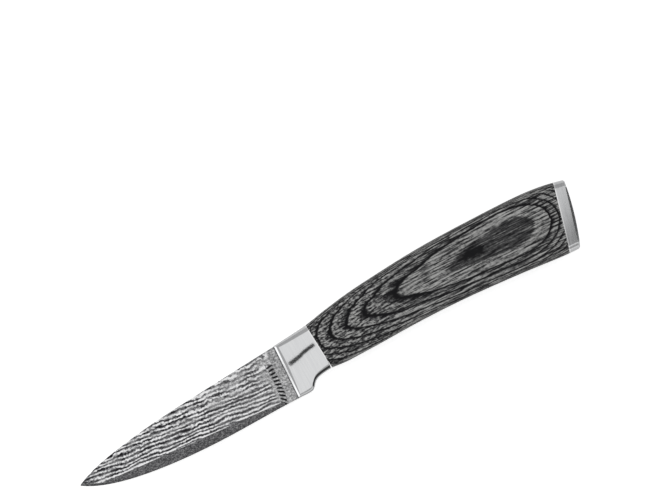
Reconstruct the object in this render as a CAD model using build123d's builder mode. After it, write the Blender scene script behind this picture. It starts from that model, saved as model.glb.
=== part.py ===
from build123d import *
from math import cos, radians, sin, tan
import os

# Paring knife: a laminated blade in a steel bolster, a grip of two layered-wood scales
# on a hidden tang, and a slanted steel end cap. The knife lies on its side. X runs from
# the tip to the butt, Y from the edge to the spine, and Z through the thickness.
# Heights in the drawing below are measured from the level of the tip.

# Blade
blade_length = 89.5
heel_rise = 12.4
heel_drop = 9.5
blade_thickness = 1.9
core_thickness = 0.5
tip_width = 0.4
spine_shares = [(0.09, 0.275), (0.22, 0.475), (0.40, 0.66), (0.63, 0.80), (0.85, 0.92)]
edge_shares = [(0.045, 0.235), (0.112, 0.475), (0.223, 0.73), (0.36, 0.91), (0.53, 1.02), (0.67, 1.04), (0.85, 1.01)]

# Grind: one flat per side from spine to edge, run out behind the plunge, then a fine edge bevel
ricasso_length = 6.7
thickness_behind_edge = 0.4
thickness_at_tip = 0.68
plunge_radius = 6.0
plunge_turn = 45
edge_width = 0.04
edge_bevel_angle = 14
edge_bevel_reach = 1.6

# Bolster
bolster_length = 15.9
front_lean = 1.8
rear_lean = -4.2
front_stand = 0.15
rear_rise = 13.95
guard_depth = 4.55
front_thickness = 5.6
rear_thickness = 12.4
rim_width = 0.7
rim_angle = 45
shoulder_width = 0.85
shoulder_angle = 27
notch_shares = [
    (-0.06, 1.0), (0.16, 0.985), (0.32, 0.96), (0.377, 0.90), (0.428, 0.745),
    (0.484, 0.52), (0.535, 0.345), (0.60, 0.215), (0.69, 0.125), (0.85, 0.045),
]

# Grip and end cap: shares of the run along, the rise, the drop and the swell behind the bolster
grip_length = 102.6
grip_rise = 19.9
belly_drop = 5.1
butt_drop = 9.4
grip_thickness = 17.5
cap_thickness = 4.5
cap_lean = 14.4
cap_rise = 18.4
cap_drop = 8.5
cap_width = 16.1
cap_bevel = 0.45
butt_bulge = 0.8
grip_shares = [
    (0.006, 0.034, 0.01, 0.04), (0.045, 0.168, 0.105, 0.19), (0.103, 0.345, 0.14, 0.35),
    (0.181, 0.546, 0.13, 0.51), (0.298, 0.74, 0.07, 0.72), (0.434, 0.916, 0.06, 0.87),
    (0.571, 0.997, 0.163, 0.965), (0.707, 1.0, 0.372, 1.0), (0.844, 0.97, 0.651, 0.98),
    (0.951, 0.874, 0.895, 0.90), (1.029, 0.68, 0.988, 0.78), (1.107, 0.403, 1.07, 0.63),
]
corner_share = 0.88
edge_bow_share = 0.08
rounding_share = 0.27
least_rounding = 0.9

# Lands: a shallow flat belted on each side of the grip, where the knife lies
land_along = 143.0
land_pitch = 1.6
across_lands = 16.1

# Tang, dowels and studs
stub_length = 11.5
stub_height = 11.0
stub_level = 4.0
tang_length = 87.0
tang_end_height = 7.0
tang_end_level = 6.0
tang_end_rounding = 3.0
dowel_diameter = 4.0
dowel_length = 11.0
dowel_shares = [0.14, 0.50, 0.86]
stud_diameter = 4.0
stud_length = 12.0
stud_spacing = 13.0
stud_level = 4.0
stud_seat = 2.7
clearance = 0.05
overrun = 5.0

# Places that follow from the sizes above
front_slope = tan(radians(front_lean))
bolster_end = blade_length + bolster_length
grip_end = bolster_end + grip_length
cap_run = cap_thickness * cos(radians(cap_lean)) + (cap_rise - cap_bevel) * sin(radians(cap_lean))
knife_length = grip_end + cap_run
edge_depth = heel_drop * max(drop for along, drop in edge_shares)
mid_level = (grip_rise - edge_depth) / 2
plunge_start = blade_length - ricasso_length
stub_end = blade_length + stub_length
tang_end = stub_end + tang_length
front_top = heel_rise + front_stand
guard_bottom = -belly_drop - guard_depth

drawing = Plane(origin=(-knife_length / 2, -mid_level, grip_thickness / 2))


def leaning_plane(along, lean):
    """A cut across the knife at the tip's level, its top leaning back by an angle."""
    tilt = radians(lean)
    origin = drawing.from_local_coords((along, 0, 0))
    return Plane(origin=origin, x_dir=(sin(tilt), cos(tilt), 0), z_dir=(cos(tilt), -sin(tilt), 0))


bolster_front = leaning_plane(blade_length, front_lean)
bolster_rear = leaning_plane(bolster_end, rear_lean)
cap_front = leaning_plane(grip_end, cap_lean)

# Blade outline
heel_top = (blade_length + heel_rise * front_slope, heel_rise)
heel_bottom = (blade_length - heel_drop * front_slope, -heel_drop)
tip_top = (0, tip_width)
spine_points = [tip_top] + [(along * blade_length, rise * heel_rise) for along, rise in spine_shares] + [heel_top]
edge_points = [(0, 0)] + [(along * blade_length, -drop * heel_drop) for along, drop in edge_shares] + [heel_bottom]

# The grind's flat passes through three points on the left side of the blade
grind_spine = drawing.from_local_coords((plunge_start, heel_rise, blade_thickness / 2))
grind_edge = drawing.from_local_coords((plunge_start, -heel_drop, thickness_behind_edge / 2))
grind_tip = drawing.from_local_coords((0, 0, thickness_at_tip / 2))
grind_across = grind_spine - grind_edge
grind_normal = grind_across.cross(grind_tip - grind_edge)
grind_profile = Plane(origin=grind_edge, x_dir=grind_across.cross(grind_normal), z_dir=-grind_across)

with BuildPart() as flat_grind:
    with BuildSketch(grind_profile):
        with BuildLine():
            flat = Line((-plunge_start - overrun, 0), (0, 0))
            plunge = JernArc(start=flat @ 1, tangent=flat % 1, radius=plunge_radius, arc_size=plunge_turn)
            Polyline(
                plunge @ 1,
                (plunge_radius, overrun),
                (-plunge_start - overrun, overrun),
                flat @ 0,
            )
        make_face()
    extrude(amount=blade_length, both=True)

# The edge bevel follows the edge from ahead of the tip to the plunge
with BuildPart() as edge_bevel:
    with BuildLine(drawing) as bevel_path:
        edge_line = Spline(*edge_points, mode=Mode.PRIVATE)
        tip_run = edge_line % 0
        Line((-tip_run.X * overrun, -tip_run.Y * overrun), (0, 0))
        add(edge_line.trim(0, plunge_start / blade_length))
    start = bevel_path.line @ 0
    with BuildSketch(Plane(origin=start, x_dir=(-tip_run.Y, tip_run.X, 0), z_dir=tip_run)):
        climb = edge_bevel_reach * tan(radians(edge_bevel_angle))
        Polygon(
            (-edge_bevel_reach, edge_width / 2),
            (0, edge_width / 2),
            (edge_bevel_reach, edge_width / 2 + climb),
            (edge_bevel_reach, blade_thickness),
            (-edge_bevel_reach, blade_thickness),
            align=None,
        )
    sweep(path=bevel_path.wires()[0])

# The forged blank: three layers of steel ground as one, with a short tang behind the heel
with BuildPart() as blank:
    with BuildSketch(drawing):
        with BuildLine():
            Spline(*spine_points)
            Line(heel_top, heel_bottom)
            Spline(*edge_points)
            Line((0, 0), tip_top)
        make_face()
        stub_low = stub_level - stub_height / 2
        stub_top = stub_level + stub_height / 2
        with BuildLine():
            Polyline(
                (blade_length + stub_low * front_slope, stub_low),
                (stub_end, stub_low),
                (stub_end, stub_top),
                (blade_length + stub_top * front_slope, stub_top),
                close=True,
            )
        make_face()
    extrude(amount=blade_thickness / 2, both=True)
    add(flat_grind.part, mode=Mode.SUBTRACT)
    mirror(flat_grind.part, about=drawing, mode=Mode.SUBTRACT)
    add(edge_bevel.part, mode=Mode.SUBTRACT)
    mirror(edge_bevel.part, about=drawing, mode=Mode.SUBTRACT)

with BuildPart() as blade_core:
    add(blank.part)
    split(bisect_by=drawing.offset(core_thickness / 2), keep=Keep.BOTTOM)
    split(bisect_by=drawing.offset(-core_thickness / 2), keep=Keep.TOP)

with BuildPart() as blade_cladding_left:
    add(blank.part)
    split(bisect_by=drawing.offset(core_thickness / 2), keep=Keep.TOP)

with BuildPart() as blade_cladding_right:
    add(blank.part)
    split(bisect_by=drawing.offset(-core_thickness / 2), keep=Keep.BOTTOM)


def grip_section(plane, top, bottom, half_thickness):
    """One slice of the bolster and grip: bowed sides and edges with rounded corners."""
    corner = half_thickness * corner_share
    bow = corner * edge_bow_share
    middle = (top + bottom) / 2
    with BuildSketch(plane) as section:
        with BuildLine():
            ThreePointArc((bottom + bow, -corner), (middle, -half_thickness), (top - bow, -corner))
            ThreePointArc((top - bow, -corner), (top, 0), (top - bow, corner))
            ThreePointArc((top - bow, corner), (middle, half_thickness), (bottom + bow, corner))
            ThreePointArc((bottom + bow, corner), (bottom, 0), (bottom + bow, -corner))
        make_face()
        fillet(section.vertices(), least_rounding + corner * rounding_share)
    return section.sketch


# One smooth form runs from the bolster's front to the butt, and the planes cut it into pieces
slices = []
for along, guard in notch_shares:
    slices.append(
        grip_section(
            leaning_plane(blade_length + along * bolster_length, 0),
            front_top + (rear_rise - front_top) * along,
            -belly_drop - guard_depth * guard,
            (front_thickness + (rear_thickness - front_thickness) * along) / 2,
        )
    )
for along, rise, drop, swell in grip_shares:
    slices.append(
        grip_section(
            leaning_plane(bolster_end + along * grip_length, 0),
            rear_rise + (grip_rise - rear_rise) * rise,
            -belly_drop - (butt_drop - belly_drop) * drop,
            (rear_thickness + (grip_thickness - rear_thickness) * swell) / 2,
        )
    )


def land_plane(side):
    """The flat land on one side of the grip, following the grip's taper."""
    tilt = radians(land_pitch)
    origin = drawing.from_local_coords((land_along, 0, side * across_lands / 2))
    return Plane(origin=origin, z_dir=(-sin(tilt), 0, side * cos(tilt)))


with BuildPart() as grip_form:
    loft(slices)
    for side in (-1, 1):
        split(bisect_by=land_plane(side), keep=Keep.BOTTOM)


# The bolster's front rim is bevelled twice along both sides, and keeps its top and bottom
bolster_taper = (rear_thickness - front_thickness) / 2 / bolster_length
shoulder_half = front_thickness / 2 + bolster_taper * (rim_width + shoulder_width)
rim_half = shoulder_half - shoulder_width * tan(radians(shoulder_angle))
rim_slices = []
for behind, half_thickness in (
    (0, rim_half - rim_width * tan(radians(rim_angle))),
    (rim_width, rim_half),
    (bolster_length, rim_half + (bolster_length - rim_width) * tan(radians(shoulder_angle))),
):
    spread = (half_thickness + blade_thickness) / 2
    rim_slices.append(
        grip_section(bolster_front.offset(behind), front_top + spread, guard_bottom - spread, half_thickness)
    )
with BuildPart() as front_cone:
    loft(rim_slices, ruled=True)

# The bolster: the front of the form with its bevelled rim, slotted for the tang
with BuildPart() as bolster:
    add(grip_form.part)
    split(bisect_by=bolster_front, keep=Keep.TOP)
    split(bisect_by=bolster_rear, keep=Keep.BOTTOM)
    add(front_cone.part, mode=Mode.INTERSECT)
    with BuildSketch(drawing):
        with Locations((blade_length, stub_level)):
            Rectangle(2 * (bolster_length + overrun), stub_height + 2 * clearance)
    extrude(amount=blade_thickness / 2 + clearance, both=True, mode=Mode.SUBTRACT)

# The tang bar: a tapering steel strip butted behind the blade's stub, drilled for the dowels
tang_rise = (tang_end_level - stub_level) / tang_length
dowel_places = []
for along in dowel_shares:
    dowel_places.append((stub_end + along * tang_length, stub_level + along * tang_length * tang_rise))


def tang_outline(margin):
    """The tang's tapering side view, its free end rounded, with a margin round it."""
    with BuildSketch(drawing) as outline:
        with BuildLine():
            Polyline(
                (stub_end, stub_level - stub_height / 2 - margin),
                (tang_end + margin, tang_end_level - tang_end_height / 2 - margin),
                (tang_end + margin, tang_end_level + tang_end_height / 2 + margin),
                (stub_end, stub_level + stub_height / 2 + margin),
                close=True,
            )
        make_face()
        fillet(outline.vertices().sort_by(Axis.X)[-2:], tang_end_rounding)
    return outline.sketch


with BuildPart() as tang_bar:
    add(tang_outline(0))
    extrude(amount=blade_thickness / 2, both=True)
    with BuildSketch(drawing):
        with Locations(*dowel_places):
            Circle(dowel_diameter / 2 + clearance)
    extrude(amount=blade_thickness, both=True, mode=Mode.SUBTRACT)

# Blind dowels through the tang hold the two scales together, with nothing to see outside
with BuildPart() as scale_dowels:
    with BuildSketch(drawing):
        with Locations(*dowel_places):
            Circle(dowel_diameter / 2)
    extrude(amount=dowel_length / 2, both=True)

# Two studs stand in the end cap and reach into the wood between the scales
stud_plane = cap_front.offset(stud_seat - stud_length)
stud_places = [(stud_level - stud_spacing / 2, 0), (stud_level + stud_spacing / 2, 0)]
with BuildPart() as cap_studs:
    with BuildSketch(stud_plane):
        with Locations(*stud_places):
            Circle(stud_diameter / 2)
    extrude(amount=stud_length)

with BuildPart() as stud_bores:
    with BuildSketch(stud_plane.offset(-clearance)):
        with Locations(*stud_places):
            Circle(stud_diameter / 2 + clearance)
    extrude(amount=stud_length + 2 * clearance)

# The grip: both scales hollowed together for the tang, dowels and studs, then parted
with BuildPart() as grip:
    add(grip_form.part)
    split(bisect_by=bolster_rear, keep=Keep.TOP)
    split(bisect_by=cap_front, keep=Keep.BOTTOM)
    add(tang_outline(clearance))
    extrude(amount=blade_thickness / 2 + clearance, both=True, mode=Mode.SUBTRACT)
    with BuildSketch(drawing):
        with Locations(*dowel_places):
            Circle(dowel_diameter / 2 + clearance)
    extrude(amount=dowel_length / 2 + clearance, both=True, mode=Mode.SUBTRACT)
    add(stud_bores.part, mode=Mode.SUBTRACT)

with BuildPart() as handle_scale_left:
    add(grip.part)
    split(bisect_by=drawing, keep=Keep.TOP)

with BuildPart() as handle_scale_right:
    add(grip.part)
    split(bisect_by=drawing, keep=Keep.BOTTOM)

# The end cap: a leaning steel plate with a domed back and a bevelled rear rim
beyond = 2 * butt_bulge
inset = cap_bevel + beyond
spread = cap_thickness + overrun - cap_bevel
half_cap = cap_width / 2
narrow = grip_section(cap_front.offset(cap_thickness + beyond), cap_rise - inset, inset - cap_drop, half_cap - inset)
wide = grip_section(cap_front.offset(-overrun), cap_rise + spread, -cap_drop - spread, half_cap + spread)
dome_radius = ((cap_rise + cap_drop) ** 2 / 4 + butt_bulge ** 2) / (2 * butt_bulge)
dome_level = (cap_rise - cap_drop) / 2
with BuildPart() as cap_back:
    loft([wide, narrow], ruled=True)
    with Locations(cap_front):
        with Locations((dome_level, 0, cap_thickness + butt_bulge - dome_radius)):
            Sphere(dome_radius, rotation=(90, 0, 0), mode=Mode.INTERSECT)

with BuildPart() as end_cap:
    add(grip_form.part)
    split(bisect_by=cap_front, keep=Keep.TOP)
    add(cap_back.part, mode=Mode.INTERSECT)
    add(stud_bores.part, mode=Mode.SUBTRACT)

pieces = {
    "blade_core": blade_core,
    "blade_cladding_left": blade_cladding_left,
    "blade_cladding_right": blade_cladding_right,
    "bolster": bolster,
    "tang_bar": tang_bar,
    "scale_dowels": scale_dowels,
    "handle_scale_left": handle_scale_left,
    "handle_scale_right": handle_scale_right,
    "end_cap": end_cap,
    "cap_studs": cap_studs,
}
os.makedirs("parts", exist_ok=True)
for node, piece in pieces.items():
    piece.part.label = node
    export_step(piece.part, f"parts/{node}.step")
    print(node, round(piece.part.volume, 1))
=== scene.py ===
import bmesh
import bpy
from math import cos, radians, sin, tau
from mathutils import Euler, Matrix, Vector


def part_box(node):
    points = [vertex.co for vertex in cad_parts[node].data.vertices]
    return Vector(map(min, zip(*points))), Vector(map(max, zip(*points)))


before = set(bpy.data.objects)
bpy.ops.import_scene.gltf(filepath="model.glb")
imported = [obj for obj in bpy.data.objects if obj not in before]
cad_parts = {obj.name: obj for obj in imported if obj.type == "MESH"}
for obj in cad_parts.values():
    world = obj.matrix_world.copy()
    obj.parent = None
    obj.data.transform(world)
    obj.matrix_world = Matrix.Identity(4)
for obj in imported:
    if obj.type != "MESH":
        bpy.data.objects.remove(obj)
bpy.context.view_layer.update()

# The paring knife lies on its right side, its tip to the left and its spine away from the viewer.
# The camera looks straight down on it through a long lens, turned so that the butt points up
# and to the right, as in the photograph.
view_turn = radians(28)
view_height = 1.5
view_width = 0.2539
view_offset = Vector((0.01867, 0.02913))
sensor_width = 36
sight_limit = 10

knife_low = Vector((min(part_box(node)[0][axis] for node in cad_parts) for axis in range(3)))
knife_high = Vector((max(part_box(node)[1][axis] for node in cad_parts) for axis in range(3)))
knife_middle = (knife_low + knife_high) / 2

lens = bpy.data.cameras.new("long_lens")
lens.sensor_width = sensor_width
lens.lens = sensor_width * (view_height - knife_middle.z) / view_width
lens.clip_end = sight_limit
camera = bpy.data.objects.new("camera", lens)
camera.location = (knife_middle.x + view_offset.x, knife_middle.y + view_offset.y, view_height)
camera.rotation_euler = (0, 0, -view_turn)
bpy.context.collection.objects.link(camera)
bpy.context.scene.camera = camera

# Both claddings of the blade: folded steel of many thin layers, forge-welded to the core, ground
# flat and etched. The grind cuts the layers at a shallow slope, so each shows as a long frayed
# line. Behind the plunge the steel is plain grey, with a column of short dark dashes.
mm = 1000
tip_level = 5.0
middle_plane = 8.75


def feed(finish, node, inputs):
    """Set inputs of a node, each to a value or to another node's output."""
    for socket, source in inputs.items():
        if isinstance(source, bpy.types.NodeSocket):
            finish.node_tree.links.new(source, node.inputs[socket])
        else:
            node.inputs[socket].default_value = source


def new_finish(name, inputs):
    """A material with one Principled shader, and that shader."""
    finish = bpy.data.materials.new(name)
    finish.use_nodes = True
    shader = finish.node_tree.nodes["Principled BSDF"]
    feed(finish, shader, inputs)
    return finish, shader


def add_node(finish, kind, inputs=None, **settings):
    """A new node with its settings made and its inputs fed."""
    node = finish.node_tree.nodes.new("ShaderNode" + kind)
    for name, value in settings.items():
        setattr(node, name, value)
    feed(finish, node, inputs or {})
    return node


def work(finish, operation, *values):
    """One Math node's result."""
    return add_node(finish, "Math", dict(enumerate(values)), operation=operation).outputs[0]


def plus(finish, total, value, share):
    """A total with a share of a value added."""
    return work(finish, "MULTIPLY_ADD", value, share, total)


def minus(finish, value, less):
    """A value less another."""
    return work(finish, "SUBTRACT", value, less)


def times(finish, value, factor):
    """A value times a factor."""
    return work(finish, "MULTIPLY", value, factor)


def square(finish, value):
    """A value times itself."""
    return times(finish, value, value)


def past(finish, value, start):
    """How far a value has gone past its start, and 0 before it."""
    return work(finish, "MAXIMUM", minus(finish, value, start), 0.0)


def swell(finish, value, step):
    """A wave between 0 and 1 that comes back at each step of a value."""
    turn = work(finish, "SINE", times(finish, value, tau / step))
    return plus(finish, 0.5, turn, 0.5)


def fade(finish, value, low, high):
    """A smooth rise from 0 at low to 1 at high."""
    inputs = {"Value": value, "From Min": low, "From Max": high}
    return add_node(finish, "MapRange", inputs, interpolation_type="SMOOTHSTEP").outputs[0]


def shade(finish, value, stops, change="LINEAR"):
    """Colours laid along a value, each stop a place and a colour."""
    node = add_node(finish, "ValToRGB", {"Fac": value})
    scale = node.color_ramp
    scale.interpolation = change
    while len(scale.elements) < len(stops):
        scale.elements.new(0.5)
    for element, (place, colour) in zip(scale.elements, stops):
        element.position = place
        element.color = colour
    return node.outputs["Color"]


def mix_colours(finish, factor, first, second):
    """First colour where the factor is 0, second where it is 1."""
    inputs = {0: factor, 6: first, 7: second}
    return add_node(finish, "Mix", inputs, data_type="RGBA").outputs[2]


def grain(finish, place, sizes, turn=0, detail=2.0, roughness=0.5):
    """Noise whose spots have these sizes in millimetres along X, Y and Z, turned about Z."""
    inputs = {"Vector": place, "Rotation": (0, 0, turn)}
    turned = add_node(finish, "Mapping", inputs).outputs[0]
    inputs = {"Vector": turned, "Scale": [1 / size for size in sizes]}
    scaled = add_node(finish, "Mapping", inputs).outputs[0]
    inputs = {"Vector": scaled, "Scale": 1.0, "Detail": detail, "Roughness": roughness}
    return add_node(finish, "TexNoise", inputs).outputs[0]


def swing(finish, place, sizes, **settings):
    """The same noise, swinging about 0."""
    return minus(finish, grain(finish, place, sizes, **settings), 0.5)


def drawing_place(finish):
    """Millimetres from the tip along the knife, from the tip's level and from the mid-plane."""
    object_place = add_node(finish, "TexCoord").outputs["Object"]
    zero = (-knife_low.x * mm, tip_level, -middle_plane)
    inputs = {"Vector": object_place, "Location": zero, "Scale": (mm, mm, mm)}
    place = add_node(finish, "Mapping", inputs).outputs[0]
    parts = add_node(finish, "SeparateXYZ", {"Vector": place})
    depth = work(finish, "ABSOLUTE", parts.outputs["Z"])
    return place, parts.outputs["X"], parts.outputs["Y"], depth


def speckled(finish, place, size, greys):
    """Etched speckle of three greys."""
    dark, middle, light = greys
    coarse = grain(finish, place, (size, size * 0.7, size * 0.7), roughness=0.75)
    return shade(finish, coarse, ((0.36, dark), (0.5, middle), (0.66, light)))


def near_joint(finish, along, up, joint, lean, reach):
    """1 along a leaning joint, fading to 0 at a reach on both sides."""
    lean = radians(lean)
    off_joint = times(finish, minus(finish, along, joint), cos(lean))
    off_joint = plus(finish, off_joint, up, -sin(lean))
    return fade(finish, work(finish, "ABSOLUTE", off_joint), reach, reach / 3)


def dress(nodes, finish):
    """Give pieces their finish."""
    for node in nodes:
        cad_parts[node].data.materials[0] = finish


etched, etched_shader = new_finish("etched_layers", {"Metallic": 1.0})
place, along, up, depth = drawing_place(etched)
upper_part = (-3.0, 7.0)
spine_part = (3.0, 8.5)
upper = fade(etched, up, *upper_part)
near_spine = fade(etched, up, *spine_part)

# How far through the stack of layers each spot is ground, counted in layers. Towards the heel
# they rise to the spine.
layer_step = 0.04
layer_widening = 0.2
layer_lean = 0.0018
layer_wander = 0.1
layer_wander_size = (13, 5, 9)
layer_ripple = 0.06
layer_ripple_size = (2.2, 1.8, 9)
ripple_low = 0.4
ripple_more = 0.75
heel_from = 77.0
heel_rise = 0.0012

wander = swing(etched, place, layer_wander_size, detail=1.5)
ripple = swing(etched, place, layer_ripple_size, roughness=0.6)
ripple = times(etched, ripple, plus(etched, ripple_low, upper, ripple_more))
level = plus(etched, depth, along, layer_lean)
level = plus(etched, level, wander, layer_wander)
level = plus(etched, level, ripple, layer_ripple)
bend = times(etched, square(etched, past(etched, along, heel_from)), near_spine)
level = plus(etched, level, bend, -heel_rise)
widened = times(etched, square(etched, level), layer_widening)
count = work(etched, "DIVIDE", minus(etched, level, widened), layer_step)

# Bright and dark layers in turn, frayed and specked by the acid. The first layer over the core
# is brighter, and the tip darker.
fray_turn = radians(5)
fray_size = (1.4, 0.6, 9)
fray_share = 0.6
fray_low = 1.7
fray_more = 0.7
speck_size = (0.9, 0.8, 9)
speck_share = 2.0
cloud_size = (6, 2.5, 9)
cloud_share = 1.0
core_face = 0.253
core_wander = 0.02
first_layer = (0.04, 0.015)
first_layer_light = 0.25
spine_light = 0.12
tip_part = (7.0, 1.5)
tip_dark = 0.35
bright_layer = (0.88, 0.88, 0.885, 1)
middle_layer = (0.22, 0.22, 0.23, 1)
dark_layer = (0.02, 0.02, 0.022, 1)

wave = swell(etched, count, 1.0)
fray = swing(etched, place, fray_size, turn=fray_turn, detail=3.0, roughness=0.8)
broken = times(etched, fray, plus(etched, fray_low, upper, fray_more))
wave = plus(etched, wave, broken, fray_share)
speck = swing(etched, place, speck_size, roughness=0.7)
wave = plus(etched, wave, speck, speck_share)
cloud = swing(etched, place, cloud_size, turn=fray_turn, detail=1.0)
wave = plus(etched, wave, cloud, cloud_share)
past_core = minus(etched, depth, plus(etched, core_face, wander, core_wander))
wave = plus(etched, wave, fade(etched, past_core, *first_layer), first_layer_light)
wave = plus(etched, wave, near_spine, spine_light)
wave = plus(etched, wave, fade(etched, along, *tip_part), -tip_dark)
layers = shade(etched, wave, ((0.14, dark_layer), (0.54, middle_layer), (1.0, bright_layer)))

# Patches where the layers blur into plain grey, more of them towards the spine and the heel.
haze_size = (7, 2.5, 9)
haze_edges = (0.42, 0.66)
haze_low = 0.25
haze_more = 0.45
heel_haze_part = (50.0, 72.0)
heel_haze = 0.16
plain_speck = 0.8
plain_greys = ((0.18, 0.18, 0.185, 1), (0.4, 0.4, 0.405, 1), (0.72, 0.72, 0.725, 1))

haze = fade(etched, grain(etched, place, haze_size, turn=fray_turn), *haze_edges)
haze = times(etched, haze, plus(etched, haze_low, upper, haze_more))
haze = plus(etched, haze, fade(etched, along, *heel_haze_part), heel_haze)
plain = speckled(etched, place, plain_speck, plain_greys)
layers = mix_colours(etched, haze, layers, plain)

# The column of dashes behind the layers. Near the edge it bends towards the tip, and its dashes
# fan out.
dash_along = 84.6
dash_droop = 0.017
dash_reach = 1.5
dash_blur = 0.6
dash_fray = 2.0
dash_step = 1.5
dash_edges = (0.3, 0.62)
dash_slant = 0.25
dash_fan = 0.065
dash_top = 6.0
dash_top_blur = 2.5

below_tip = work(etched, "MINIMUM", up, 0.0)
column = plus(etched, along, square(etched, below_tip), dash_droop)
column = minus(etched, column, dash_along)
slant = plus(etched, dash_slant, up, -dash_fan)
dash = swell(etched, plus(etched, up, column, slant), dash_step)
off_column = plus(etched, work(etched, "ABSOLUTE", column), fray, dash_fray)
in_column = fade(etched, off_column, dash_reach, dash_reach - dash_blur)
in_column = times(etched, in_column, fade(etched, up, dash_top + dash_top_blur, dash_top))
dash = times(etched, fade(etched, dash, *dash_edges), in_column)

# The layers end at the plunge, and the core shows below them. Painted shade darkens the blade
# in the corner at the bolster.
pattern_end = 81.2
pattern_blur = 1.2
pattern_reach = 4.0
pattern_ripple = 5.0
core_speck = 0.55
core_blur = 0.006
core_greys = ((0.04, 0.04, 0.042, 1), (0.115, 0.115, 0.119, 1), (0.3, 0.3, 0.305, 1))
bolster_front = 89.5
bolster_front_lean = 1.8
# How wide and how dark the painted shade in the corner at the bolster is.
corner_shade_width = 0.6
corner_shade_dark = 0.75
etch_depth = 0.00002
etch_dull = 0.46
etch_shine = 0.16

past_pattern = plus(etched, along, ripple, pattern_ripple)
past_pattern = plus(etched, past_pattern, near_spine, -pattern_reach)
past_pattern = fade(etched, past_pattern, pattern_end, pattern_end + pattern_blur)
above_core = fade(etched, past_core, 0.0, core_blur)
core_grey = speckled(etched, place, core_speck, core_greys)
# Painted shade: the blade's colour darkens along the corner at the bolster's front.
corner_shade = near_joint(etched, along, up, bolster_front, bolster_front_lean, corner_shade_width)
colour = mix_colours(etched, past_pattern, layers, plain)
colour = mix_colours(etched, dash, colour, dark_layer)
colour = mix_colours(etched, above_core, core_grey, colour)
colour = mix_colours(etched, times(etched, corner_shade, corner_shade_dark), colour, dark_layer)
dull = plus(etched, etch_dull, wave, -etch_shine)
relief = {"Height": times(etched, wave, above_core), "Distance": etch_depth, "Strength": 0.5}
relief = add_node(etched, "Bump", relief).outputs[0]
feed(etched, etched_shader, {"Base Color": colour, "Roughness": dull, "Normal": relief})
dress(("blade_cladding_left", "blade_cladding_right"), etched)

# The core of the blade: one layer of hard plain steel, forge-welded between the claddings. It
# shows as a dull speckled grey band along the edge, with a fine bright bevel at the very edge.
plain_core, core_shader = new_finish("plain_core", {"Metallic": 1.0, "Roughness": 0.42})
place = drawing_place(plain_core)[0]
band = speckled(plain_core, place, core_speck, core_greys)
feed(plain_core, core_shader, {"Base Color": band})
dress(("blade_core",), plain_core)

# The bolster: a forged steel collar, slotted for the tang and ground flush with the grip, then
# brushed to a soft satin. Its edge against the wood carries a painted highlight.
brush_size = (0.5, 9, 9)
bolster_rear = 105.4
bolster_rear_lean = -4.2
bolster_highlight_width = 0.45
bolster_dull = 0.08
bolster_brush = 0.04
bolster_dark = (0.64, 0.645, 0.655, 1)
bolster_light = (0.68, 0.685, 0.69, 1)
painted_edge_highlight = (0.85, 0.85, 0.85, 1)

satin, satin_shader = new_finish("bolster_satin", {"Metallic": 1.0})
place, along, up = drawing_place(satin)[:3]
brushed = grain(satin, place, brush_size)
tone = shade(satin, brushed, ((0.3, bolster_dark), (0.7, bolster_light)))
# Painted highlight: the colour turns bright along the bolster's edge at the wood.
edge_highlight_mask = near_joint(satin, along, up, bolster_rear, bolster_rear_lean, bolster_highlight_width)
tone = mix_colours(satin, edge_highlight_mask, tone, painted_edge_highlight)
dull = plus(satin, bolster_dull, brushed, bolster_brush)
feed(satin, satin_shader, {"Base Color": tone, "Roughness": dull})
dress(("bolster",), satin)

# The hidden steel: the tang bar behind the blade's stub, the blind dowels through it, and the
# studs of the end cap, all bright bar with faint drawing marks.
mark_size = (8, 0.2, 0.2)
bar_dull = 0.3
bar_marks = 0.2
bar_dark = (0.38, 0.38, 0.39, 1)
bar_light = (0.52, 0.52, 0.53, 1)

drawn_bar, bar_shader = new_finish("drawn_bar", {"Metallic": 1.0})
place = drawing_place(drawn_bar)[0]
marks = grain(drawn_bar, place, mark_size)
tone = shade(drawn_bar, marks, ((0.3, bar_dark), (0.7, bar_light)))
dull = plus(drawn_bar, bar_dull, marks, bar_marks)
feed(drawn_bar, bar_shader, {"Base Color": tone, "Roughness": dull})
dress(("tang_bar", "scale_dowels", "cap_studs"), drawn_bar)

# The two scales of the grip: grey and black veneers pressed with resin into a block, parallel to
# the knife's sides. The domed sides cut through them, so each layer shows as an oval ring round a
# dark heart with a knot, and the rolled edges show them as close lines.


def off_oval(finish, along, up, middle, reach):
    """The square of a spot's distance from the middle of an oval, 1 on its outline."""
    total = 0.0
    for value, centre, half in zip((along, up), middle, reach):
        off = work(finish, "DIVIDE", minus(finish, value, centre), half)
        total = plus(finish, total, off, off)
    return total


veneers, veneer_shader = new_finish("pressed_veneers", {"Specular IOR Level": 0.12})
place, along, up, depth = drawing_place(veneers)

# How far through the stack of veneers each spot is cut, counted in veneers. It follows the dome
# of the side, its flat land, and the fall towards the butt.
veneer_step = 0.49
veneer_start = 0.29
dome_level = 10.0
dome_bend = 0.0054
land_middle = (143.0, 6.5)
land_reach = (26.0, 5.6)
land_depth = 0.2
butt_from = 190.0
butt_fall = 0.0032
tilt_from = 150.0
veneer_tilt = 0.0098
grain_turn = radians(1.5)
veneer_wander = 0.22
veneer_wander_size = (14, 5, 6)
veneer_flutter = 0.09
veneer_flutter_size = (2.5, 1.3, 3)

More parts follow.
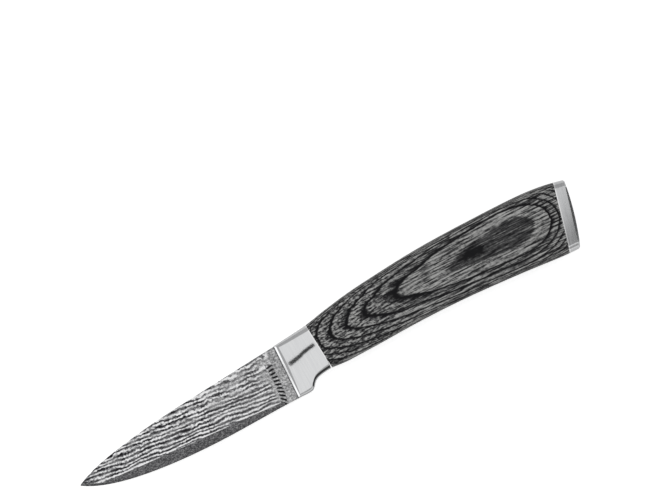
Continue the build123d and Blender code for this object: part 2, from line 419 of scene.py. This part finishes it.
off_dome = minus(veneers, up, dome_level)
level = plus(veneers, depth, square(veneers, off_dome), -dome_bend)
land = minus(veneers, 1.0, off_oval(veneers, along, up, land_middle, land_reach))
level = plus(veneers, level, work(veneers, "MAXIMUM", land, 0.0), land_depth)
level = plus(veneers, level, square(veneers, past(veneers, along, butt_from)), -butt_fall)
level = plus(veneers, level, past(veneers, along, tilt_from), veneer_tilt)
wander = swing(veneers, place, veneer_wander_size, turn=grain_turn)
level = plus(veneers, level, wander, veneer_wander)
flutter = swing(veneers, place, veneer_flutter_size, turn=grain_turn)
level = plus(veneers, level, flutter, veneer_flutter)
count = work(veneers, "DIVIDE", minus(veneers, level, veneer_start), veneer_step)

# Black glue between the veneers, the wood that it has soaked, and each veneer's own tint.
veneer_count = 18
veneer_tints = (0.06, -0.03, 0.05, 0.0, 0.04, 0.04, 0.05, 0.0, 0.065, 0.065)
glue_half = (0.16, 0.04)
last_glue = (16.69, 16.39)
soak_from = 0.55
soak_dark = 0.14
last_soak = (16.89, 16.69)

inside = work(veneers, "FRACT", count)
from_glue = work(veneers, "MINIMUM", inside, minus(veneers, 1.0, inside))
glue_line = fade(veneers, from_glue, *glue_half)
glue_line = times(veneers, glue_line, fade(veneers, count, *last_glue))
soaked = fade(veneers, inside, soak_from, 1.0)
soaked = times(veneers, soaked, fade(veneers, count, *last_soak))
first_tint = veneer_count - len(veneer_tints)
number = work(veneers, "DIVIDE", minus(veneers, count, first_tint), len(veneer_tints))
stops = []
for index, tint in enumerate(veneer_tints):
    grey = tint + 0.5
    stops.append((index / len(veneer_tints), (grey, grey, grey, 1)))
tint = minus(veneers, shade(veneers, number, stops, "CONSTANT"), 0.5)

# Fibres along the grip, shorter flecks at its front, and fine rows of pores.
fibre_size = (8, 0.45, 0.45)
fleck_size = (1.4, 0.58, 0.58)
front_part = (148.0, 122.0)
face_part = (4.5, 6.5)
fleck_share = 0.3
fleck_front_share = 0.45
row_step = 1.4
row_share = 0.09
row_wander = 2.0
row_wander_size = (12, 1.8, 2.5)

fibres = grain(veneers, place, fibre_size, turn=grain_turn, roughness=0.6)
flecks = grain(veneers, place, fleck_size, turn=grain_turn, detail=1.5, roughness=0.65)
on_front = times(veneers, fade(veneers, along, *front_part), fade(veneers, depth, *face_part))
share = plus(veneers, fleck_share, on_front, fleck_front_share)
streak = plus(veneers, fibres, minus(veneers, flecks, fibres), share)
rows = minus(veneers, plus(veneers, up, along, -sin(grain_turn)), depth)
row_swing = grain(veneers, place, row_wander_size, turn=grain_turn, detail=1.0)
rows = swell(veneers, plus(veneers, rows, row_swing, row_wander), row_step)
streak = plus(veneers, streak, minus(veneers, rows, 0.5), row_share)
streak = plus(veneers, streak, tint, 1.0)
streak = plus(veneers, streak, soaked, -soak_dark)

# The dark heart of the topmost veneer, and the knot in it.
heart_from = 17.29
heart_blur = 0.1
heart_calm = 0.4
heart_dark = 0.08
knot_middle = (172.94, 8.5)
knot_reach = (5.88, 2.5)
knot_part = (1.3, 0.1)
knot_dark = 0.13
knot_flutter = 2.0

heart = fade(veneers, count, heart_from - heart_blur, heart_from + heart_blur)
calmer = plus(veneers, 1.0, heart, -heart_calm)
streak = plus(veneers, 0.5, minus(veneers, streak, 0.5), calmer)
streak = plus(veneers, streak, heart, -heart_dark)
off_knot = work(veneers, "SQRT", off_oval(veneers, along, up, knot_middle, knot_reach))
off_knot = plus(veneers, off_knot, flutter, knot_flutter)
streak = plus(veneers, streak, fade(veneers, off_knot, *knot_part), -knot_dark)

# The wood's greys, from its pores to its palest fibres, under a thin satin.
glue_black = (0.004, 0.004, 0.005, 1)
veneer_dark = (0.006, 0.006, 0.007, 1)
veneer_middle = (0.07, 0.07, 0.071, 1)
veneer_light = (0.44, 0.44, 0.432, 1)
fibre_depth = 0.00005
wood_dull = 0.6
wood_shine = 0.2

wood = shade(veneers, streak, ((0.39, veneer_dark), (0.5, veneer_middle), (0.66, veneer_light)))
colour = mix_colours(veneers, glue_line, wood, glue_black)
dull = plus(veneers, wood_dull, streak, -wood_shine)
relief = {"Height": streak, "Distance": fibre_depth, "Strength": 0.5}
relief = add_node(veneers, "Bump", relief).outputs[0]
feed(veneers, veneer_shader, {"Base Color": colour, "Roughness": dull, "Normal": relief})
dress(("handle_scale_left", "handle_scale_right"), veneers)

# The end cap: a steel plate pinned and glued over the butt, ground flush with the wood, its back
# slightly domed and its rear rim bevelled. It is brushed along its leaning front.
cap_front = 208.0
cap_lean = 14.4
cap_highlight_width = 0.55
cap_dull = 0.1
cap_brush = 0.06
cap_dark = (0.54, 0.545, 0.555, 1)
cap_light = (0.62, 0.625, 0.63, 1)

cap_satin, cap_shader = new_finish("cap_satin", {"Metallic": 1.0})
place, along, up = drawing_place(cap_satin)[:3]
brushed = grain(cap_satin, place, brush_size, turn=radians(cap_lean))
tone = shade(cap_satin, brushed, ((0.3, cap_dark), (0.7, cap_light)))
# Painted highlight: the colour turns bright along the cap's front edge at the wood.
edge_highlight_mask = near_joint(cap_satin, along, up, cap_front, cap_lean, cap_highlight_width)
tone = mix_colours(cap_satin, edge_highlight_mask, tone, painted_edge_highlight)
dull = plus(cap_satin, cap_dull, brushed, cap_brush)
feed(cap_satin, cap_shader, {"Base Color": tone, "Roughness": dull})
dress(("end_cap",), cap_satin)

# The studio: a white table under the knife, a wide soft light from the top of the picture, and
# pale surroundings. The camera and the polished steel see the surroundings as plain white.
floor_size = 3.0
table_grey = (0.8, 0.8, 0.8, 1)
white = (1, 1, 1, 1)
black = (0, 0, 0, 1)
table_glow = 0.15
table_glow_in_view = 0.5
room_dim = 0.6
room_full = 1.0


def seen_directly(finish):
    """1 on rays that the camera, a reflection or a clear piece sends out, and the camera's own."""
    path = add_node(finish, "LightPath").outputs
    seen = work(finish, "MAXIMUM", path["Is Camera Ray"], path["Is Glossy Ray"])
    seen = work(finish, "MAXIMUM", seen, path["Is Transmission Ray"])
    return seen, path["Is Camera Ray"]


floor_mesh = bpy.data.meshes.new("table_top")
form = bmesh.new()
bmesh.ops.create_grid(form, x_segments=1, y_segments=1, size=floor_size / 2)
form.to_mesh(floor_mesh)
form.free()
floor = bpy.data.objects.new("table_top", floor_mesh)
bpy.context.collection.objects.link(floor)

glowing = {"Base Color": table_grey, "Roughness": 0.9, "Emission Color": white}
table_white, table_shader = new_finish("table_white", glowing)
seen, in_view = seen_directly(table_white)
glow = plus(table_white, times(table_white, seen, table_glow), in_view, table_glow_in_view)
feed(table_white, table_shader, {"Emission Strength": glow})
floor_mesh.materials.append(table_white)

room = bpy.data.worlds.new("pale_room")
bpy.context.scene.world = room
room.use_nodes = True
seen = seen_directly(room)[0]
strength = {"Value": seen, "To Min": room_dim, "To Max": room_full}
strength = add_node(room, "MapRange", strength).outputs[0]
feed(room, room.node_tree.nodes["Background"], {"Color": white, "Strength": strength})


def soft_light(name, size, power, spot, aim):
    """A square soft box at a spot, turned towards its aim."""
    lamp = bpy.data.lights.new(name, "AREA")
    lamp.size = size
    lamp.energy = power
    box = bpy.data.objects.new(name, lamp)
    box.location = spot
    box.rotation_euler = (Vector(aim) - Vector(spot)).to_track_quat("-Z", "Y").to_euler()
    box.visible_glossy = False
    bpy.context.collection.objects.link(box)


soft_light("top_box", 2.2, 15.0, (-0.3, 0.9, 2.2), (0, 0, 0))

# Grey screens stand round the table, and cards hang over it, where only the polished steel sees
# them. They draw its darker edges, the streak along the bolster, the dark line in the finger
# notch, the grey of the guard below it and the shade on the cap.
ring_radius = 0.6
rim_radius = 0.55


def panel_finish(name, level):
    """An even panel of one brightness, which the steel reflects."""
    inputs = {"Base Color": black, "Specular IOR Level": 0.0, "Roughness": 1.0}
    inputs.update({"Emission Color": (level, level, level, 1), "Emission Strength": 1.0})
    return new_finish(name, inputs)[0]


def stage_prop(name, form, finish):
    """A studio prop seen by reflections only."""
    mesh = bpy.data.meshes.new(name)
    form.to_mesh(mesh)
    form.free()
    mesh.materials.append(finish)
    prop = bpy.data.objects.new(name, mesh)
    prop.visible_camera = False
    prop.visible_diffuse = False
    prop.visible_shadow = False
    bpy.context.collection.objects.link(prop)


def bent_screen(name, finish, radius, turns, heights):
    """A screen bent round the table between two bearings in degrees and two heights."""
    form = bmesh.new()
    bmesh.ops.create_grid(form, x_segments=24, y_segments=1, size=0.5)
    for corner_shade in form.verts:
        turn = radians(turns[0] + (turns[1] - turns[0]) * (corner_shade.co.x + 0.5))
        height = heights[0] + (heights[1] - heights[0]) * (corner_shade.co.y + 0.5)
        corner_shade.co = (radius * cos(turn), radius * sin(turn), height)
    stage_prop(name, form, finish)


def card(name, finish, size, spot, turns):
    """A flat card near the knife, turned from level by three angles in degrees."""
    form = bmesh.new()
    bmesh.ops.create_grid(form, x_segments=1, y_segments=1, size=0.5)
    bmesh.ops.scale(form, verts=form.verts, vec=(*size, 1))
    turned = Euler([radians(turn) for turn in turns]).to_matrix()
    bmesh.ops.rotate(form, verts=form.verts, matrix=turned)
    bmesh.ops.translate(form, verts=form.verts, vec=spot)
    stage_prop(name, form, finish)


middle_grey = panel_finish("panel_grey", 0.5)
deep_grey = panel_finish("panel_deep", 0.32)
dark = panel_finish("panel_dark", 0.05)
bright = panel_finish("panel_bright", 1.6)
bent_screen("back_screen", middle_grey, ring_radius, (30, 150), (0.0, 1.1))
bent_screen("ring_screen", middle_grey, ring_radius, (150, 390), (0.24, 0.86))
bent_screen("rim_card", bright, rim_radius, (150, 210), (-0.05, 0.2))
card("cap_card", deep_grey, (0.5, 0.8), (0.52, 0.0, 1.0), (0, 0, -16))
card("bolster_card", dark, (0.0135, 0.0021), (-0.0186, 0.0002, 0.03), (0, 0, 13.3))
card("notch_card", dark, (0.012, 0.007), (-0.0054, -0.0145, 0.014), (90, 0, 0))
card("guard_card", middle_grey, (0.03, 0.016), (-0.007, -0.0155, 0.0065), (-45, 0, 0))
card("butt_card", dark, (0.025, 0.1), (0.15, -0.01, 0.024), (0, 90, 0))

bpy.context.scene.view_settings.view_transform = "Standard"
